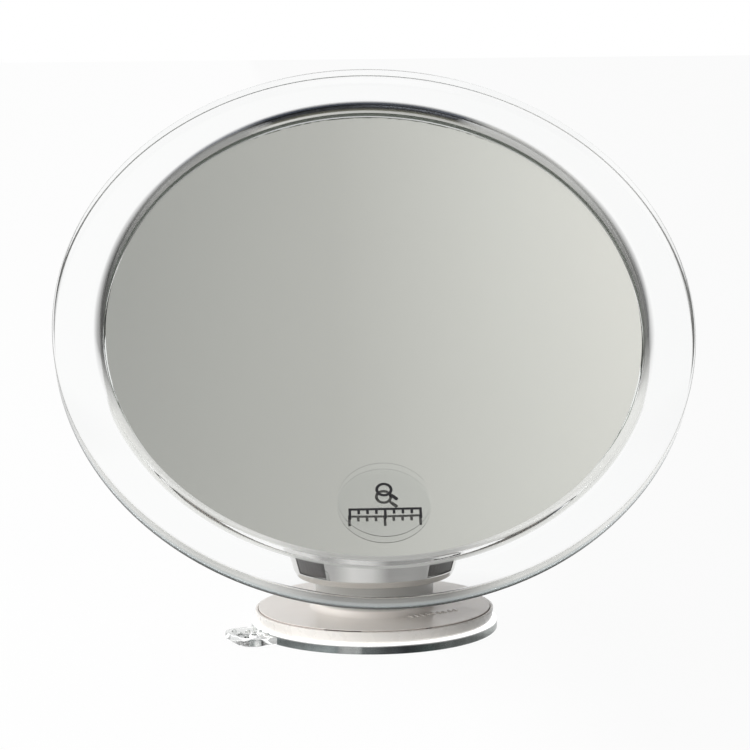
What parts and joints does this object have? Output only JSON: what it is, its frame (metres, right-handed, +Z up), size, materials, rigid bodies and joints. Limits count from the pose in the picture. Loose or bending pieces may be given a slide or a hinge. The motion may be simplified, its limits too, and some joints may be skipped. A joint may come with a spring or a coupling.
{
  "type": "magnifying bathroom mirror",
  "caption": "Round magnifying mirror in a clear ring, on a ball joint and short neck over a suction cup base with a quarter-turn lock knob.",
  "frame": {"origin": "middle of the suction cup's flat underside", "axes": "+Z up from the surface the cup holds, -Y the way the glass faces at rest, +X to the right of someone who looks along +Y into the glass"},
  "size_m": [0.2, 0.1359, 0.1788],
  "materials": {
    "soft_clear": "soft clear",
    "milky_plastic": "milky gloss",
    "cap_plastic": "milky satin",
    "slip_plastic": "smooth",
    "knob_metal": "polished",
    "grip_rubber": "matte",
    "steel": "zinc plated",
    "ball_steel": "ground",
    "neck_plastic": "milky gloss",
    "clear_plastic": "clear acrylic, polished",
    "mirror_glass": "polished",
    "silvering": "mirror front, grey paint back",
    "adhesive": "clear bead",
    "foam": "foam",
    "cover_plastic": "milky gloss",
    "label_film": "clear film",
    "label_ink": "print"
  },
  "bodies": {
    "base": {"suction_cup": "soft_clear", "pressure_collar": "milky_plastic", "base_cap": "cap_plastic", "knob_washer": "slip_plastic", "swivel_washer": "slip_plastic"},
    "knob": {"lock_knob": "knob_metal", "cam_ring": "slip_plastic", "grip_pad_1": "grip_rubber", "grip_pad_2": "grip_rubber", "grip_pad_3": "grip_rubber", "grip_pad_4": "grip_rubber"},
    "stem": {"lift_stud": "steel", "cross_pin": "steel"},
    "post": {"neck_post": "neck_plastic", "swivel_screw": "steel", "swivel_nut": "steel", "ball_stud": "ball_steel", "ball_stud_nut": "steel"},
    "liners": {"liner_front": "slip_plastic", "liner_rear": "slip_plastic"},
    "head": {"clear_frame": "clear_plastic", "mirror_glass": "mirror_glass", "mirror_coating": "silvering", "glass_adhesive": "adhesive", "foam_pad_1": "foam", "foam_pad_2": "foam", "foam_pad_3": "foam", "back_cover": "cover_plastic", "cover_screw_1": "steel", "cover_screw_2": "steel", "cover_screw_3": "steel", "cover_screw_4": "steel", "cover_screw_5": "steel", "cover_screw_6": "steel", "socket_housing": "cover_plastic", "hub_screw_1": "steel", "hub_screw_2": "steel", "hub_screw_3": "steel", "hub_screw_4": "steel", "label_disc": "label_film", "label_icon": "label_ink", "label_scale": "label_ink"}
  },
  "joints": [
    {"name": "knob_turn", "type": "hinge", "parent": "base", "child": "knob", "pos_m": [0, 0, 0.0243], "axis": [0, 0, -1], "range_deg": [0, 90]},
    {"name": "stem_lift", "type": "slide", "parent": "base", "child": "stem", "axis": [0, 0, 1], "range_m": [0, 0.0022]},
    {"name": "neck_swivel", "type": "hinge", "parent": "base", "child": "post", "pos_m": [0, 0, 0.0365], "axis": [0, 0, 1], "continuous": true},
    {"name": "head_tilt", "type": "hinge", "parent": "post", "child": "liners", "pos_m": [0, 0, 0.084], "axis": [1, 0, 0], "range_deg": [-100, 2]},
    {"name": "head_spin", "type": "hinge", "parent": "liners", "child": "head", "pos_m": [0, 0, 0.084], "axis": [0, -0.7547, 0.6561], "continuous": true}
  ],
  "couplings": [
    {"joint": "stem_lift", "follows": "knob_turn", "m_per_rad": 0.0014005}
  ]
}
